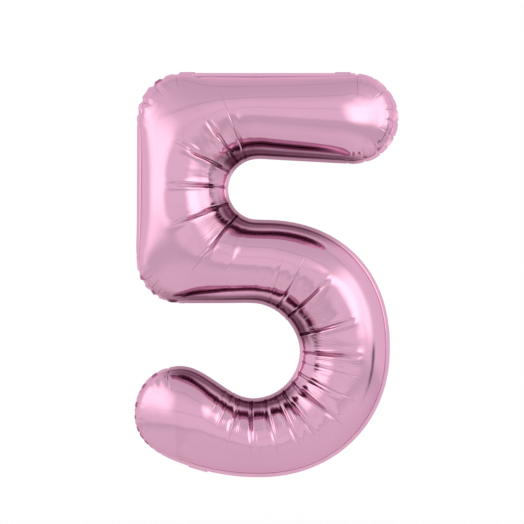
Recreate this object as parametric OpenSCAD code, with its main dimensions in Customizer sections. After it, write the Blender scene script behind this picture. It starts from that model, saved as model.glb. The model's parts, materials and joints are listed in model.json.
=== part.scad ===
// Foil number balloon "5": two welded film panels, a folded-back filling tail
// with a self-sealing valve, and two folded-back hanging tabs.
// Front faces -Y, +Z is up, and the origin is the middle of the top seam edge.

/* [Numeral] */
// Width of the bar and stem across the seam margins
tube_w = 197; // [170:1:205]
// Height from the top seam edge to the lowest seam edge
height = 875; // [865:1:885]
// How far the left edge lies from the middle of the top edge
left_reach = 280; // [270:1:290]
// How far the round end of the bar lies from the middle of the top edge
bar_reach = 286; // [270:1:300]
// Depth of the inflated tube, front to back
depth = 186; // [150:1:195]
// Radius of the squared-off upper left corner
top_corner_r = 99; // [60:1:120]
// Radius of the squared-off middle left corner
mid_corner_r = 94; // [60:1:110]

/* [Upper bay] */
// Radius of the bay's round inner end
bay_r = 66; // [55:1:70]
// How much narrower the bar is where it meets the stem
bar_taper = 11; // [0:1:16]

/* [Bowl] */
// Half width of the bowl's outer edge
bowl_rx = 284; // [275:1:290]
// Half height of the bowl's outer edge
bowl_rz = 279; // [272:1:284]
// Fullness of the bowl's outer edge above its middle, 2 for an ellipse
bowl_full_top = 2.25; // [2:0.05:2.4]
// Fullness of the bowl's outer edge below its middle, 2 for an ellipse
bowl_full_low = 2.1; // [2:0.05:2.4]
// Half width of the lower bay's round inner end
inner_rx = 102; // [90:1:110]
// Half height of the lower bay's round inner end
inner_rz = 103; // [95:1:108]
// Fullness of that round end above its middle, 2 for an ellipse
inner_full_top = 1.85; // [1.7:0.05:2.2]

/* [Film] */
// Width of the flat welded margin outside the seam
margin_w = 8; // [5:0.5:10]
// Wall thickness of a panel, thicker than the real film so that it is a sound solid
film_t = 0.5; // [0.4:0.1:0.8]
// Thickness of one ply of the welded margin
ply_t = 0.4; // [0.3:0.1:0.5]

/* [Tail] */
// Width of the filling tail
tail_w = 34; // [28:1:40]
// Length of the filling tail from its fold
tail_len = 62; // [45:1:80]
// Width of the weld down each side of the tail
tail_weld = 4; // [3:0.5:6]
// Width of the two valve films
valve_w = 22; // [16:1:24]
// How far the valve films reach into the envelope
valve_in = 78; // [50:1:90]

/* [Hanging tabs] */
// Width of a hanging tab
tab_w = 27; // [20:1:32]
// Length of a hanging tab from its fold
tab_len = 22; // [18:1:28]
// Radius of the punched hole in a hanging tab
eyelet_r = 3.5; // [2.5:0.25:4]
// Distance of the punched hole's centre from the fold
eyelet_out = 13; // [11:0.5:15]
// Distance of the left tab's middle from the origin
left_tab_x = -171; // [-178:1:-150]
// Distance of the right tab's middle from the origin
right_tab_x = 165; // [140:1:170]

/* [Hidden] */
$fn = 48;

half_tube = tube_w / 2;
half_depth = depth / 2;

// The bar's round end, the bays and the bowl, as [x, z] on the seam plane
bar_end = [bar_reach - half_tube, -half_tube];
bay = [-17, -tube_w + bar_taper - bay_r];
bowl = [-17, bowl_rz - height];
inner = [-30, bowl[1] - 5];
mid_floor = inner[1] + inner_rz;

// The hook: where its round end is centred, and that end's reach up, down and left
hook_end = [-184, bowl[1] - 143];
hook_up = 105;
hook_down = 106;
hook_left = 102;

function unit(v) = v / norm(v);
function mix(a, b, t) = a + (b - a) * t;
function between(list) = [for (i = [1 : len(list) - 2]) list[i]];
function flip(list) = [for (i = [len(list) - 1 : -1 : 0]) list[i]];
function arc(c, r, from, to, n) =
    [for (i = [0 : n]) let (a = mix(from, to, i / n)) c + r * [cos(a), sin(a)]];
function line(a, b, n) = [for (i = [0 : n - 1]) mix(a, b, i / n)];
function bezier(p, n) =
    [for (i = [0 : n]) let (t = i / n, s = 1 - t)
        s * s * s * p[0] + 3 * s * s * t * p[1] + 3 * s * t * t * p[2] + t * t * t * p[3]];
function power(v, e) = sign(v) * pow(abs(v), e);
function superellipse(c, rx, rz, full, a) =
    c + [rx * power(cos(a), 2 / full), rz * power(sin(a), 2 / full)];

// Bar: the top edge and the underside, from the round end to the stem
bar_n = 8;
bar_top = line([bar_end[0], 0], [bay[0], 0], bar_n);
bar_under = line([bar_end[0], -tube_w], [bay[0], bay[1] + bay_r], bar_n);

// Stem: the squared outer edge, and the bay's round end opposite each of its points
stem_outer = concat(
    line([bay[0], 0], [top_corner_r - left_reach, 0], 4),
    arc([top_corner_r - left_reach, -top_corner_r], top_corner_r, 90, 180, 8),
    line([-left_reach, -top_corner_r - 35], [-left_reach - 1, mid_floor + mid_corner_r + 30], 5),
    arc([mid_corner_r - left_reach - 1, mid_floor + mid_corner_r], mid_corner_r, 180, 270, 8),
    line([mid_corner_r - left_reach + 30, mid_floor], [inner[0] - 20, mid_floor], 4));
stem_inner = [for (p = stem_outer) bay + bay_r * unit(p - bay)];

// Bowl: the lower bay's round end and the outer edge, top to bottom
bowl_steps = 26;
bowl_turn = [for (i = [0 : bowl_steps]) 90 - 180 * i / bowl_steps];
bowl_inner = [for (a = bowl_turn)
    superellipse(inner, inner_rx, inner_rz, a > 0 ? inner_full_top : 2, a)];
bowl_outer = [for (a = bowl_turn)
    superellipse(bowl, bowl_rx, bowl_rz, a > 0 ? bowl_full_top : bowl_full_low, a)];

// Hook: its top edge is an easy S and its lower edge a shallow parabola
hook_n = 7;
hook_top = [for (i = [1 : hook_n]) let (t = i / hook_n)
    [mix(inner[0], hook_end[0], t),
     mix(inner[1] - inner_rz, hook_end[1] + hook_up, t * t * (3 - 2 * t))]];
hook_low = [for (i = [1 : hook_n]) let (t = i / hook_n)
    [mix(bowl[0], hook_end[0], t), mix(-height, hook_end[1] - hook_down, t * t)]];

// The two edges of the tube, station by station, and its two round ends
edge_a = concat(bar_top, stem_outer, bowl_inner, hook_top);
edge_b = concat(bar_under, stem_inner, bowl_outer, hook_low);
stations = len(edge_a);
hook_tip = hook_end - [hook_left, 0];
hook_cap = concat(
    between(bezier([edge_a[stations - 1], edge_a[stations - 1] - [61, 0],
                    hook_tip + [0, 63], hook_tip], 6)),
    [hook_tip],
    between(bezier([hook_tip, hook_tip - [0, 56],
                    edge_b[stations - 1] + [-56, 20], edge_b[stations - 1]], 6)));
bar_cap = between(arc(bar_end, half_tube, -90, 90, 12));

// The outer edge of the margin as one loop: edge a, the hook's end, edge b back, the
// bar's end. crest_of gives the station of the crest line that each loop point faces.
loop = concat(edge_a, hook_cap, flip(edge_b), bar_cap);
loop_n = len(loop);
crest_of = concat([for (i = [0 : stations - 1]) i], [for (p = hook_cap) stations - 1],
                  [for (i = [stations - 1 : -1 : 0]) i], [for (p = bar_cap) 0]);

// The crest runs down the middle, or half a tube from the bay where the stem's ribs
// reach out to a corner, and it is lower where the tube is narrower
rib = [for (i = [0 : stations - 1]) norm(edge_a[i] - edge_b[i])];
crest = [for (i = [0 : stations - 1])
    edge_b[i] + min(rib[i], tube_w) / 2 * unit(edge_a[i] - edge_b[i])];
crest_h = [for (w = rib) half_depth * min(1, w / tube_w)];

// One panel on the +Y side: a flat margin ply, then a quarter ellipse up to the crest,
// outside and inside
steps = 6;
function point(p, y) = [p[0], y, p[1]];
function rise(from, i, inset, low, drop, turn) =
    let (top = crest[i], reach = norm(top - from) - inset)
    point(from + (inset + reach * (1 - cos(turn))) * unit(top - from),
          low + (crest_h[i] - drop - low) * sin(turn));
function ring(inset, low, drop, j) =
    [for (k = [0 : loop_n - 1]) rise(loop[k], crest_of[k], inset, low, drop, 90 * j / steps)];
outside = concat([for (p = loop) point(p, 0)], [for (p = loop) point(p, ply_t)],
                 [for (j = [0 : steps - 1]) each ring(margin_w, ply_t, 0, j)],
                 [for (i = [0 : stations - 1]) point(crest[i], crest_h[i])]);
inside = concat([for (j = [0 : steps - 1]) each ring(margin_w + film_t, 0, film_t, j)],
                [for (i = [0 : stations - 1]) point(crest[i], crest_h[i] - film_t)]);

// Two triangles between corners a, b, c and d, or one where c and d are the same point
function quad(a, b, c, d) = c == d ? [[a, b, c]] : [[a, b, c], [a, c, d]];
function strip(low, high) = [for (k = [0 : loop_n - 1]) let (m = (k + 1) % loop_n)
    each quad(low + k, low + m, high + m, high + k)];
function cap(low, high) = [for (k = [0 : loop_n - 1]) let (m = (k + 1) % loop_n)
    each quad(low + k, low + m, high + crest_of[m], high + crest_of[k])];
function sheet(rings, start) = concat(
    [for (r = [0 : rings - 2]) each strip(start + r * loop_n, start + (r + 1) * loop_n)],
    cap(start + (rings - 1) * loop_n, start + rings * loop_n));
function turned(faces) = [for (f = faces) flip(f)];

module panel() {
    start = len(outside);
    polyhedron(concat(outside, inside),
               concat(sheet(steps + 2, 0), turned(sheet(steps, start)), strip(start, 0)));
}

module back_panel() color([0.80, 0.60, 0.72]) panel();
module front_panel() color([0.86, 0.65, 0.77]) mirror([0, 1, 0]) panel();

// Anything that folds at the margin's edge is drawn flat, with x along its fold, y away
// from the fold and z towards the balloon, and put at [x, z] of the edge, leaning by tilt
fold_gap = 2;
fold_start = 1.2;
module at_edge(p, tilt) translate(point(p, 0)) rotate([0, tilt, 0])
    translate([0, 0, -fold_gap]) children();

// The tail leaves the hook's lower edge between two of its stations
tail_station = stations - 2;
tail_at = (edge_b[tail_station] + edge_b[tail_station - 1]) / 2;
tail_edge = edge_b[tail_station - 1] - edge_b[tail_station];
tail_tilt = atan2(-tail_edge[1], tail_edge[0]);
pocket = 0.3;
valve_t = 0.2;
valve_gap = 0.05;

module tail_shape() {
    polygon([[-tail_w / 2 - 5, fold_start], [tail_w / 2 + 5, fold_start],
             [tail_w / 2 + 1.5, 5], [tail_w / 2, 10], [tail_w / 2, tail_len],
             [-tail_w / 2, tail_len], [-tail_w / 2, 10], [-tail_w / 2 - 1.5, 5]]);
}

module tail_ply() {
    translate([0, 0, pocket]) linear_extrude(ply_t) tail_shape();
    for (side = [-1, 1]) linear_extrude(pocket)
        translate([side * (tail_w - tail_weld) / 2, (tail_len + 10) / 2])
            square([tail_weld, tail_len - 10], center = true);
}

module valve_film(from, to) translate([-valve_w / 2, from, valve_gap])
    cube([valve_w, to - from, valve_t]);

module tail_back_ply() color([0.80, 0.60, 0.72]) at_edge(tail_at, tail_tilt) tail_ply();
module tail_front_ply() color([0.86, 0.65, 0.77]) at_edge(tail_at, tail_tilt)
    mirror([0, 0, 1]) tail_ply();
module tail_valve_back_film() color([0.92, 0.92, 0.94]) at_edge(tail_at, tail_tilt)
    valve_film(fold_start, tail_len - 6);
module tail_valve_front_film() color([0.92, 0.92, 0.94]) at_edge(tail_at, tail_tilt)
    mirror([0, 0, 1]) valve_film(fold_start, tail_len - 6);

// Inside, the valve films stand in the seam plane and reach up the hook
module in_envelope() translate(point(tail_at, 0)) rotate([0, tail_tilt, 0])
    rotate([90, 0, 0]) children();
valve_root = margin_w + film_t + 0.5;
module valve_front_film() color([0.92, 0.92, 0.94]) in_envelope()
    valve_film(valve_root, valve_root + valve_in);
module valve_back_film() color([0.92, 0.92, 0.94]) in_envelope()
    mirror([0, 0, 1]) valve_film(valve_root, valve_root + valve_in);

// A hanging tab is both plies welded into one, with a round end and a punched hole
module hang_tab() linear_extrude(2 * ply_t, center = true) difference() {
    union() {
        translate([-tab_w / 2, fold_start]) square([tab_w, tab_len - tab_w / 2 + 3]);
        intersection() {
            translate([0, tab_len - tab_w / 2]) circle(tab_w / 2);
            translate([-tab_w / 2, fold_start]) square([tab_w, tab_len]);
        }
    }
    translate([0, eyelet_out]) circle(eyelet_r);
}
module hang_tab_left() color([0.84, 0.63, 0.75]) at_edge([left_tab_x, 0], 180) hang_tab();
module hang_tab_right() color([0.84, 0.63, 0.75]) at_edge([right_tab_x, 0], 180) hang_tab();

front_panel();
back_panel();
valve_front_film();
valve_back_film();
tail_front_ply();
tail_back_ply();
tail_valve_front_film();
tail_valve_back_film();
hang_tab_left();
hang_tab_right();
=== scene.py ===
"""A pink foil number balloon: the inflated envelope, its filling tail and its two hanging tabs."""
import math
from collections import Counter, defaultdict
import json

import bpy
import numpy as np
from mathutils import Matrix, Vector


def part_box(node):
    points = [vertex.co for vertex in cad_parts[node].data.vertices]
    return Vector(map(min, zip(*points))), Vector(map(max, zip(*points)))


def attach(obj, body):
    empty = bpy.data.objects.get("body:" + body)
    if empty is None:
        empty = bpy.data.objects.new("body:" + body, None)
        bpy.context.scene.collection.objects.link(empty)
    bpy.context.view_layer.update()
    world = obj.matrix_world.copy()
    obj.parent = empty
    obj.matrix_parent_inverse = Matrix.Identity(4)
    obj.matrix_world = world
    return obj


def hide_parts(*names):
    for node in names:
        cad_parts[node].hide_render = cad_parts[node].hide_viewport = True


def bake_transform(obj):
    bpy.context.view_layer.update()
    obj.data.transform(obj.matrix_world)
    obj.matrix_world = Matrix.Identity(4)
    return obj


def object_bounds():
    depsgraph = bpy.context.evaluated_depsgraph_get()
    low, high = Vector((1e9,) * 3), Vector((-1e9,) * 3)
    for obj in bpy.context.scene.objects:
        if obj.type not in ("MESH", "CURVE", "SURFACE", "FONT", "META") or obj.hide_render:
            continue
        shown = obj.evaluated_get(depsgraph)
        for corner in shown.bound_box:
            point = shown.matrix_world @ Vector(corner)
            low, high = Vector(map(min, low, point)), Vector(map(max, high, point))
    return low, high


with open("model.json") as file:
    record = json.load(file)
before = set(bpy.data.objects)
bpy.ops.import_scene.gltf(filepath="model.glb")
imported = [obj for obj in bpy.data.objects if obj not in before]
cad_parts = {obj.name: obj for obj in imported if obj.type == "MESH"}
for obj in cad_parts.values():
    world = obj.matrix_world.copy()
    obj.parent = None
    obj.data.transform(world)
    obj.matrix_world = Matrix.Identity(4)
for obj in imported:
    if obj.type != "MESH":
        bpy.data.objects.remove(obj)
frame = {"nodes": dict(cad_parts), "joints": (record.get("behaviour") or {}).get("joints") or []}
bpy.context.view_layer.update()
CAD_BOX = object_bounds()
MIDDLE = (CAD_BOX[0] + CAD_BOX[1]) / 2

MM = 0.001
FRONT, BACK = 0, 1
SIGN = (-1, 1)  # the way each panel faces along Y

# ---------------- film and pattern
MARGIN = 8 * MM  # welded flat margin outside the seam
TUBE = 181 * MM  # tube width between its two seams
SEAM_STEP = 1 * MM
RIB_STEP = 3.5 * MM
COARSE = ((28 * MM, 40), (14 * MM, 40), (7 * MM, 40))
FINE = (2.2 * MM, 80)
UPPER_BAY = (-17 * MM, -252 * MM)
LOWER_BAY = (-30 * MM, -601 * MM)
# Creases fan out from the two bays: angle in degrees, reach from the bay's middle in mm, weight
UPPER_FAN = ((112, 205, 0.8), (128, 180, 0.7), (151, 190, 1.1), (177, 175, 0.9), (204, 185, 1.1),
             (231, 210, 1.2))
LOWER_FAN = ((72, 203, 0.5), (61, 216, 1.0), (44, 205, 1.0), (18.5, 211, 1.0), (-2, 217, 0.9),
             (-13, 221, 0.6), (-25, 226, 1.0), (-38.5, 233, 1.1), (-53, 206, 1.0), (-63, 211, 0.6),
             (-76, 211, 0.8), (-91, 205, 0.9), (-105, 197, 0.8), (-115, 172, 0.7), (-124, 147, 0.6))
# Puckers where the seam turns outwards: turn's middle in mm, then angle, length in mm, weight
BAR_END = ((188, -94), ((86, 45, 1.2), (62, 16, 0.6), (39, 24, 1.0), (24, 14, 0.6), (9, 22, 1.0),
                        (-8, 22, 1.0), (-27, 24, 1.0), (-42, 14, 0.6), (-55, 24, 1.0),
                        (-76, 22, 1.0), (-97, 18, 0.7)))
TOP_CORNER = ((-178, -99), ((92, 16, 0.6), (100.5, 24, 1.0), (117, 18, 0.6), (133, 30, 1.1),
                            (147, 18, 0.6), (159, 24, 1.0), (174, 18, 0.7), (186, 14, 0.5)))
MID_CORNER = ((-184, -393), ((180, 14, 0.4), (204, 18, 0.6), (216, 22, 0.9), (229, 24, 0.9),
                             (239, 20, 0.8), (253, 18, 0.6), (266, 14, 0.5)))
HOOK_END = ((-200, -739), ((97, 34, 0.84), (110, 16, 0.35), (121, 20, 0.49), (131, 24, 0.42),
                           (141, 18, 0.49), (150, 26, 0.42), (160, 22, 0.49), (169, 28, 0.42),
                           (179, 22, 0.49), (188, 26, 0.42), (197, 20, 0.42), (208, 34, 0.77),
                           (219, 18, 0.42), (230, 20, 0.42), (241, 16, 0.42), (253, 14, 0.35)))
FAN_REACH = PUCKER_REACH = 1.3  # a crease's depth fades well before its film excess does
FAN_EXCESS = 2.4 * MM
FAN_SPREAD = 2.0 * MM
FAN_GROOVE = (2.6 * MM, 2.4 * MM)  # depth and width of the starting fold
PUCKER_EXCESS = 3 * MM
PUCKER_SPREAD = 2.5 * MM
PUCKER_GROOVE = (2 * MM, 3 * MM)
NOTCH = 1.4 * MM  # how far a pucker draws the seam in
BAR_MARGIN = 5 * MM  # the margin's extra width round the bar's end
BAR_FOOT = -200 * MM  # the bar's end lies above this
RIB_EVEN = 6  # rounds of evening along the ribs once the film has settled
SLACK = 0.25  # share of the flat pattern's surplus left between creases
FOLD_OVERLAP = 12 * MM  # how far a fold goes on past the seam
SURE_PUCKER = 0.8  # a pucker at least this heavy has a drawn line
COARSE_BEND, FINE_BEND = 0.2, 0.001

JOINTS = {joint["name"]: joint for joint in frame["joints"]}
HINGES = np.array([joint["pos_m"] for joint in JOINTS.values()])


def smooth(t):
    t = np.clip(t, 0, 1)
    return t * t * (3 - 2 * t)


def beside_hinges(points, reach=30 * MM):
    """1 where the film carries a tail or a tab, 0 further off than reach."""
    off = np.linalg.norm(points[..., None, [0, 2]] - HINGES[:, [0, 2]], axis=-1).min(-1)
    return smooth((reach - off) / (0.4 * reach))


def bar_end(x, z, reach):
    """1 at the tip of the bar, 0 further than reach from it."""
    return (z > BAR_FOOT) * smooth((x - (x.max() - reach)) / (40 * MM))


# ---------------- curves in the seam plane
def lengths(line):
    return np.concatenate([[0], np.cumsum(np.linalg.norm(np.diff(line, axis=0), axis=1))])


def at(line, s, q):
    return np.stack([np.interp(q, s, line[:, c]) for c in range(line.shape[1])], -1)


def even_loop(points, step):
    line = np.vstack([points, points[:1]])
    s = lengths(line)
    count = int(round(s[-1] / step))
    return at(line, s, np.arange(count) * s[-1] / count)


def rounded(points, cuts=16):
    """A closed Catmull-Rom curve through the points."""
    p0, p1, p2, p3 = (np.roll(points, k, 0) for k in (1, 0, -1, -2))
    d01, d12, d23 = (np.linalg.norm(b - a, axis=1)[:, None] for a, b in ((p0, p1), (p1, p2), (p2, p3)))
    m1 = ((p1 - p0) / d01 * d12 + (p2 - p1) / d12 * d01) / (d01 + d12) * d12
    m2 = ((p2 - p1) / d12 * d23 + (p3 - p2) / d23 * d12) / (d12 + d23) * d12
    t = np.linspace(0, 1, cuts, endpoint=False)[None, :, None]
    m1, m2, p1, p2 = (v[:, None] for v in (m1, m2, p1, p2))
    curve = ((2 * t**3 - 3 * t**2 + 1) * p1 + (t**3 - 2 * t**2 + t) * m1
             + (3 * t**2 - 2 * t**3) * p2 + (t**3 - t**2) * m2)
    return curve.reshape(-1, points.shape[1])


def panel_outline(panel):
    """The outer edge of a CAD panel's flat margin, as a loop of (x, z)."""
    mesh = panel.data
    where = {}
    ids = [where.setdefault(tuple(round(c, 6) for c in vertex.co), len(where))
           for vertex in mesh.vertices]
    points = np.array(list(where))
    flat = np.abs(points[:, 1]) < 1e-6
    uses = Counter()
    for face in mesh.polygons:
        corners = [ids[i] for i in face.vertices]
        if flat[corners].all():
            uses.update(frozenset(e) for e in zip(corners, corners[1:] + corners[:1]))
    following = defaultdict(list)
    for a, b in (edge for edge, count in uses.items() if count == 1):
        following[a].append(b)
        following[b].append(a)
    loops = []
    while following:
        loop = [next(iter(following))]
        onward = True
        while onward:
            onward = [n for n in following.pop(loop[-1]) if n in following]
            loop += onward[:1]
        loops.append(points[loop][:, [0, 2]])
    return max(loops, key=lambda line: np.ptp(line[:, 0]))


def to_the_left(line):
    """Unit vectors to the left of a closed line."""
    along = np.roll(line, -1, 0) - np.roll(line, 1, 0)
    along /= np.linalg.norm(along, axis=1)[:, None]
    return np.stack([-along[:, 1], along[:, 0]], 1)


def seam_loop(outline):
    """The weld line, counter-clockwise seen from the front, MARGIN inside the outline."""
    after = np.roll(outline, -1, 0)
    if np.sum(outline[:, 0] * after[:, 1] - after[:, 0] * outline[:, 1]) < 0:
        outline = outline[::-1]
    line = even_loop(rounded(outline), SEAM_STEP)
    for _ in range(60):
        line = 0.5 * line + 0.25 * (np.roll(line, 1, 0) + np.roll(line, -1, 0))
    line = even_loop(line, SEAM_STEP)
    width = MARGIN + BAR_MARGIN * bar_end(line[:, 0], line[:, 1], 60 * MM)
    return even_loop(line + width[:, None] * to_the_left(line), SEAM_STEP)


def conjugate(system, x, r, rounds, goal=0):
    """Solves a linear system from x by conjugate gradients, where r is what x still misses."""
    p, rr = r.copy(), float((r * r).sum())
    enough = goal * rr
    for _ in range(rounds):
        ap = system(p)
        stride = rr / float((p * ap).sum())
        x += stride * p
        r -= stride * ap
        new = float((r * r).sum())
        if new < enough:
            break
        p, rr = r + new / rr * p, new
    return x


def potential(rail_a, rail_b, cell=4 * MM):
    """A harmonic field that runs along the tube from 0 to 1, read on both rails."""
    ring = np.vstack([rail_a, rail_b[::-1]])
    low = ring.min(0) - 2 * cell
    nx, nz = np.ceil((ring.max(0) + 2 * cell - low) / cell).astype(int)
    xs = low[0] + cell * (np.arange(nx) + 0.5)
    zs = low[1] + cell * (np.arange(nz) + 0.5)
    inside = np.zeros((nx, nz), bool)
    after = np.roll(ring, -1, 0)
    for i, x in enumerate(xs):
        c = (ring[:, 0] <= x) != (after[:, 0] <= x)
        crossed = np.sort(ring[c, 1] + (x - ring[c, 0]) / (after[c, 0] - ring[c, 0])
                          * (after[c, 1] - ring[c, 1]))
        for z0, z1 in zip(crossed[::2], crossed[1::2]):
            inside[i] |= (zs > z0) & (zs < z1)
    gx, gz = np.meshgrid(xs, zs, indexing="ij")

    def near(p, q):
        d = (q - p) / np.linalg.norm(q - p)
        rx, rz = gx - p[0], gz - p[1]
        run = rx * d[0] + rz * d[1]
        off = np.abs(rz * d[0] - rx * d[1])
        return inside & (off < 1.2 * cell) & (run > -cell) & (run < np.linalg.norm(q - p) + cell)

    start, stop = near(rail_a[0], rail_b[0]), near(rail_a[-1], rail_b[-1])
    free = inside & ~start & ~stop
    link = [(a[1:] & a[:-1]).astype(float) for a in (inside, inside.T)]

    def laplace(v):
        out = np.zeros_like(v)
        for along, total, joins in zip((v, v.T), (out, out.T), link):
            d = (along[1:] - along[:-1]) * joins
            total[1:] += d
            total[:-1] -= d
        return out * free

    u = stop.astype(float)
    u = conjugate(laplace, u, -laplace(u), 4000, 1e-12)

    def read(q):
        total, weight = np.zeros(len(q)), np.zeros(len(q))
        f = (q - low) / cell - 0.5
        base = np.floor(f).astype(int)
        for dx in (-1, 0, 1, 2):
            for dz in (-1, 0, 1, 2):
                i, j = base[:, 0] + dx, base[:, 1] + dz
                ok = (i >= 0) & (i < nx) & (j >= 0) & (j < nz)
                i, j = i.clip(0, nx - 1), j.clip(0, nz - 1)
                g = np.exp(-((i - f[:, 0]) ** 2 + (j - f[:, 1]) ** 2) / 0.8) * (ok & inside[i, j])
                total += g * u[i, j]
                weight += g
        return total / np.maximum(weight, 1e-9)

    return read(rail_a), read(rail_b)


def blurred(padded, k):
    kernel = np.hanning(2 * k + 3)[1:-1]
    return np.convolve(padded, kernel / kernel.sum(), "valid")


def smoothed(values, k):
    return blurred(np.concatenate([2 * values[0] - values[k:0:-1], values,
                                   2 * values[-1] - values[-2:-k - 2:-1]]), k)


def monotone(u):
    u = np.maximum.accumulate(smoothed(u, 25))
    return (u - u[0]) / (u[-1] - u[0]) + np.linspace(0, 1e-6, len(u))


def ribs(seam):
    """Two rails from the bar's end to the hook's end, with matching points every RIB_STEP."""
    count = len(seam)
    height = np.ptp(seam[:, 1])
    top = seam[:, 1] > seam[:, 1].max() - 0.25 * height
    low = seam[:, 1] < seam[:, 1].min() + 0.3 * height
    bar = int(np.argmax(np.where(top, seam[:, 0], -9)))
    hook = int(np.argmin(np.where(low, seam[:, 0], 9)))
    quarter = int(round(math.pi / 4 * TUBE / 2 / SEAM_STEP))

    def between(a, b):
        return seam[np.arange(a, b if b > a else b + count) % count]

    rail_a, rail_b = between(bar, hook), between(hook, bar)[::-1]
    mid_a, mid_b = rail_a[2 * quarter:-2 * quarter], rail_b[2 * quarter:-2 * quarter]
    ua, ub = (monotone(u) for u in potential(mid_a, mid_b))
    fine = np.linspace(0, 1, 4001)
    crest = lengths((at(mid_a, ua, fine) + at(mid_b, ub, fine)) / 2)
    u = np.interp(np.linspace(0, crest[-1], int(round(crest[-1] / RIB_STEP)) + 1), crest, fine)
    return {"a": rail_a, "b": rail_b, "quarter": quarter,
            "mid_a": at(mid_a, ua, u), "mid_b": at(mid_b, ub, u)}


# ---------------- the inflated panels
END_TAPER = 1.5 * TUBE / 2  # how far from a tip the tube starts to thin


def end_depth(away):
    """The tube's depth near its tips, as a share of the full depth."""
    return np.sqrt(np.clip(1 - np.clip(1 - away / END_TAPER, 0, 1) ** 2, 0, 1))


def smooth_tube(plan, cell):
    """A grid over the half tube, height along +Y, ends closed by a patch with four corners."""
    rows = np.arange(len(plan["mid_a"]))
    length = lengths((plan["mid_a"] + plan["mid_b"]) / 2)[-1]
    f = np.linspace(0, rows[-1], int(round(length / cell / 2)) * 2 + 1)
    pa, pb = at(plan["mid_a"], rows, f), at(plan["mid_b"], rows, f)
    nj = int(round(TUBE * math.pi / 2 / cell / 2)) * 2
    nc = int(round(TUBE * math.pi / 4 / cell))
    width = np.linalg.norm(pb - pa, axis=1)
    da, db = np.gradient(lengths(pa)), np.gradient(lengths(pb))
    inner = smoothed(np.clip(3 * (da - db) / (da + db), -1, 1), max(2, int(30 * MM / cell)))
    radius = np.minimum(width, TUBE) / 2
    to_a = width / 2 + (width - 2 * radius) / 2 * inner
    phi = np.linspace(0, math.pi / 2, 120)
    middle = np.zeros((len(f), nj + 1, 3))
    for i in range(len(f)):
        across = np.concatenate([to_a[i] * (1 - np.cos(phi)),
                                 to_a[i] + (width[i] - to_a[i]) * np.sin(phi[1:])])
        rise = radius[i] * np.concatenate([np.sin(phi), np.cos(phi[1:])])
        s = lengths(np.stack([across, rise], 1))
        q = np.linspace(0, s[-1], nj + 1)
        share = np.interp(q, s, across)
        middle[i, :, [0, 2]] = pa[i][:, None] + (pb[i] - pa[i])[:, None] * share / width[i]
        middle[i, 1:-1, 1] = np.interp(q, s, rise)[1:-1]
    along = lengths((pa + pb) / 2)
    tip = TUBE / 2 + np.minimum(along, along[-1] - along)
    middle[..., 1] *= end_depth(tip)[:, None]

    def cap(a_rail, b_rail, row):
        quarter = plan["quarter"]
        psi = np.linspace(0, math.pi / 2, nc + 1)[:-1]
        depth = end_depth(TUBE / 2 * (1 - np.cos(psi))) / end_depth(TUBE / 2)
        v = -np.cos(math.pi * np.linspace(0, 1, nj + 1))
        count = np.arange(len(a_rail)), np.arange(len(b_rail))
        turn = np.arcsin(np.cos(psi) / math.sqrt(2)) / (math.pi / 4)
        side_a = at(a_rail, count[0], quarter * (2 - turn))
        side_b = at(b_rail, count[1], quarter * (2 - turn))
        tip = np.vstack([a_rail[quarter:0:-1], b_rail[:quarter + 1]])
        tip = at(tip, np.arange(len(tip)), quarter * (1 + np.arcsin(v / math.sqrt(2)) / (math.pi / 4)))
        root = row[:, [0, 2]]
        out = np.zeros((nc, nj + 1, 3))
        v = ((v + 1) / 2)[:, None]
        for i, u in enumerate(np.cos(psi)):
            patch = ((1 - v) * side_a[i] + v * side_b[i] + (1 - u) * root + u * tip
                     - (1 - u) * ((1 - v) * root[0] + v * root[-1])
                     - u * ((1 - v) * tip[0] + v * tip[-1]))
            out[i, :, [0, 2]] = patch.T
            out[i, :, 1] = row[:, 1] * depth[i]
        return out

    first = cap(plan["a"], plan["b"], middle[0])
    last = cap(plan["a"][::-1], plan["b"][::-1], middle[-1])[::-1]
    return np.concatenate([first, middle, last])


def surplus(grid):
    """How much longer than the tube the flat pattern is along it, and how near the inner seam."""
    width = np.linalg.norm(np.diff(grid, axis=1), axis=-1)
    total = width.sum(1)
    across = np.concatenate([np.zeros((len(grid), 1)), np.cumsum(width, 1)], 1) / total[:, None]
    chord = grid[:, -1] - grid[:, 0]
    turn = np.abs(np.gradient(np.unwrap(np.arctan2(chord[:, 2], chord[:, 0]))))
    row = np.linalg.norm(np.gradient(grid, axis=0), axis=-1)
    inner_b = row[:, -1] < row[:, 0]
    from_inner = np.where(inner_b[:, None], 1 - across, across)
    inner_row = np.where(inner_b, row[:, -1], row[:, 0])
    flat = inner_row[:, None] + (total * turn)[:, None] * from_inner
    return np.clip(flat / row - 1, 0, None), from_inner


def ray_to_seam(seam, centre, way):
    a, b = seam - centre, np.roll(seam, -1, 0) - centre
    side = np.array([-way[1], way[0]])
    sa, sb = a @ side, b @ side
    k = np.nonzero((sa <= 0) != (sb <= 0))[0]
    t = sa[k] / (sa[k] - sb[k])
    run = (a[k] + (b[k] - a[k]) * t[:, None]) @ way
    return run[run > 0].min()


def crease(seam, centre, angle, weight, pucker):
    """A fold line that starts on the seam, angle degrees round a bay's or a turn's centre."""
    way = np.array([math.cos(math.radians(angle)), math.sin(math.radians(angle))])
    start = ray_to_seam(seam, centre, way)
    excess, spread, groove = ((FAN_EXCESS, FAN_SPREAD, FAN_GROOVE),
                              (PUCKER_EXCESS, PUCKER_SPREAD, PUCKER_GROOVE))[pucker]
    return {"at": centre + way * start, "way": -way if pucker else way, "start": start,
            "weight": weight, "fan": not pucker, "excess": excess * weight, "spread": spread,
            "depth": groove[0] * weight, "width": groove[1]}


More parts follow.
